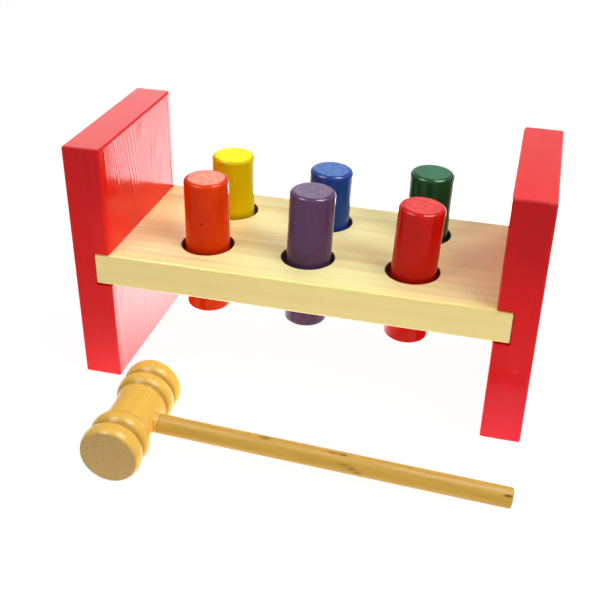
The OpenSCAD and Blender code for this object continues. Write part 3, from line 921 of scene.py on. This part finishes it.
# the glows are pale pools on the floor: one that lights the object, two seen only in its gloss
studio = {"floorHalf": 4, "floorDrop": 0.2 * mm, "floorColour": (0.9, 0.9, 0.9), "floorWhite": 0.92,
          "floorFill": 0.45, "glow": 1.1, "glowCentre": (0.0, 0.02, 0.0), "glowReach": (0.22, 0.13, 1.0),
          "shineGlow": 4.4, "shineCentre": (0.0, 0.35, 0.0), "shineReach": (0.14, 0.27, 1.0),
          "leftGlow": 5.8, "leftCentre": (-0.065, 0.10, 0.0), "leftReach": (0.05, 0.13, 1.0),
          "skySides": 0.3, "skyShine": 0.96, "skyFade": (0.02, 0.2), "aimHeight": 60 * mm}
softboxes = {
    "frontLeft": {"turn": -41, "lift": 50, "away": 1.1, "size": 0.4, "power": 3.0, "seenInGloss": False},
    "frontRight": {"turn": 69, "lift": 50, "away": 1.1, "size": 0.6, "power": 6.7, "seenInGloss": False},
    "shineLeft": {"turn": -65, "lift": 60, "away": 1.1, "size": 0.5, "power": 20, "seenInLight": False},
    "shineRight": {"turn": 100, "lift": 66, "away": 1.1, "size": 0.5, "power": 30, "seenInLight": False},
    "backRight": {"turn": 150, "lift": 26, "away": 1.1, "size": 0.6, "power": 2.3, "seenInGloss": False},
    "backLeft": {"turn": -154, "lift": 20, "away": 1.2, "size": 0.5, "power": 0.8},
    "above": {"turn": 170, "lift": 78, "away": 1.2, "size": 0.8, "power": 4.6, "seenInGloss": False},
}
photoCamera = {"eye": (109.97 * mm, -472.12 * mm, 326.35 * mm), "tilt": 59.416, "roll": -0.805,
               "turn": 14.662, "lens": 57.85, "sensor": 36.0, "nearest": 10 * mm}


def falloff(tree, centre, reach):
    # a soft bell over the floor: 1 at its centre
    away = vectorOf(tree, "DIVIDE", vectorOf(tree, "SUBTRACT", placeOn(tree), centre)[0], reach)[0]
    square = vectorOf(tree, "DOT_PRODUCT", away, away)[1]
    return mathOf(tree, "POWER", math.e, times(tree, square, -1.0))


def seenRays(tree):
    # 1 for rays that show the backdrop, straight, in gloss or through glass, and 0 for its light;
    # then 1 for the rays in gloss alone
    paths = addNode(tree, "LightPath").outputs
    seen = mathOf(tree, "MAXIMUM", paths["Is Camera Ray"], paths["Is Glossy Ray"])
    return mathOf(tree, "MAXIMUM", seen, paths["Is Transmission Ray"]), paths["Is Glossy Ray"]


def floorMaterial():
    material = bpy.data.materials.new("whiteFloor")
    material.use_nodes = True
    tree = material.node_tree
    tree.nodes.clear()
    seen, glossy = seenRays(tree)
    behind = falloff(tree, studio["shineCentre"], studio["shineReach"])
    beside = falloff(tree, studio["leftCentre"], studio["leftReach"])
    mirrored = plus(tree, times(tree, behind, studio["shineGlow"]),
                    times(tree, beside, studio["leftGlow"]))
    white = plus(tree, 1.0, times(tree, glossy, mirrored))
    bounce = times(tree, falloff(tree, studio["glowCentre"], studio["glowReach"]), studio["glow"])
    bounce = times(tree, bounce, mathOf(tree, "SUBTRACT", 1.0, seen))
    bounce = plus(tree, bounce, times(tree, seen, studio["floorFill"]))
    plain = addNode(tree, "BsdfDiffuse", Color=(*studio["floorColour"], 1))
    glow = addNode(tree, "Emission", Color=(1, 1, 1, 1), Strength=bounce)
    lit = addNode(tree, "AddShader", i0=plain.outputs[0], i1=glow.outputs[0])
    bright = addNode(tree, "Emission", Color=(1, 1, 1, 1), Strength=white)
    share = times(tree, seen, studio["floorWhite"])
    mixed = addNode(tree, "MixShader", i0=share, i1=lit.outputs[0], i2=bright.outputs[0])
    output = addNode(tree, "OutputMaterial")
    tree.links.new(mixed.outputs[0], output.inputs["Surface"])
    return material


def makeFloor():
    bm = bmesh.new()
    bmesh.ops.create_grid(bm, x_segments=1, y_segments=1, size=studio["floorHalf"])
    bmesh.ops.translate(bm, vec=(0, 0, -studio["floorDrop"]), verts=bm.verts[:])
    floor = bpy.data.objects.new("floor", meshFrom(bm, "floor"))
    bpy.context.scene.collection.objects.link(floor)
    floor.data.materials.append(floorMaterial())


def makeWorld():
    # white where it is seen, a shade less in gloss higher up, and light from the two sides only
    world = bpy.data.worlds.new("studio")
    bpy.context.scene.world = world
    world.use_nodes = True
    tree = world.node_tree
    tree.nodes.clear()
    seen, glossy = seenRays(tree)
    skyward = addNode(tree, "TexCoord").outputs["Generated"]
    direction = addNode(tree, "SeparateXYZ", Vector=skyward).outputs
    sides = times(tree, times(tree, direction["X"], direction["X"]), studio["skySides"])
    shine = remap(tree, direction["Z"], *studio["skyFade"], 1.0, studio["skyShine"])
    shine = plus(tree, times(tree, mathOf(tree, "SUBTRACT", shine, 1.0), glossy), 1.0)
    lit = times(tree, sides, mathOf(tree, "SUBTRACT", 1.0, seen))
    strength = plus(tree, lit, times(tree, shine, seen))
    light = addNode(tree, "Background", Color=(1, 1, 1, 1), Strength=strength)
    output = addNode(tree, "OutputWorld")
    tree.links.new(light.outputs[0], output.inputs["Surface"])


def makeSoftbox(name, box):
    # turn is counted from straight in front, to the right; lift is the height angle
    turn, lift = math.radians(box["turn"]), math.radians(box["lift"])
    aim = benchMid + Vector((0, 0, studio["aimHeight"]))
    away = Vector((math.sin(turn) * math.cos(lift), -math.cos(turn) * math.cos(lift), math.sin(lift)))
    lamp = bpy.data.lights.new(name, "AREA")
    lamp.shape = "SQUARE"
    lamp.size = box["size"]
    lamp.energy = box["power"]
    holder = bpy.data.objects.new(name, lamp)
    bpy.context.scene.collection.objects.link(holder)
    holder.location = aim + away * box["away"]
    holder.rotation_euler = (-away).to_track_quat("-Z", "Y").to_euler()
    holder.visible_glossy = box.get("seenInGloss", True)
    holder.visible_diffuse = box.get("seenInLight", True)


def makeCamera():
    camera = bpy.data.cameras.new("photoCamera")
    camera.sensor_fit = "HORIZONTAL"
    camera.sensor_width = photoCamera["sensor"]
    camera.lens = photoCamera["lens"]
    camera.clip_start = photoCamera["nearest"]
    holder = bpy.data.objects.new("photoCamera", camera)
    bpy.context.scene.collection.objects.link(holder)
    holder.location = Vector(photoCamera["eye"]) + benchMid
    holder.rotation_euler = [math.radians(photoCamera[key]) for key in ("tilt", "roll", "turn")]
    bpy.context.scene.camera = holder


makeFloor()
makeWorld()
for name, box in softboxes.items():
    makeSoftbox(name, box)
makeCamera()
bpy.context.scene.view_settings.view_transform = "Standard"
print("floor, light and camera made")
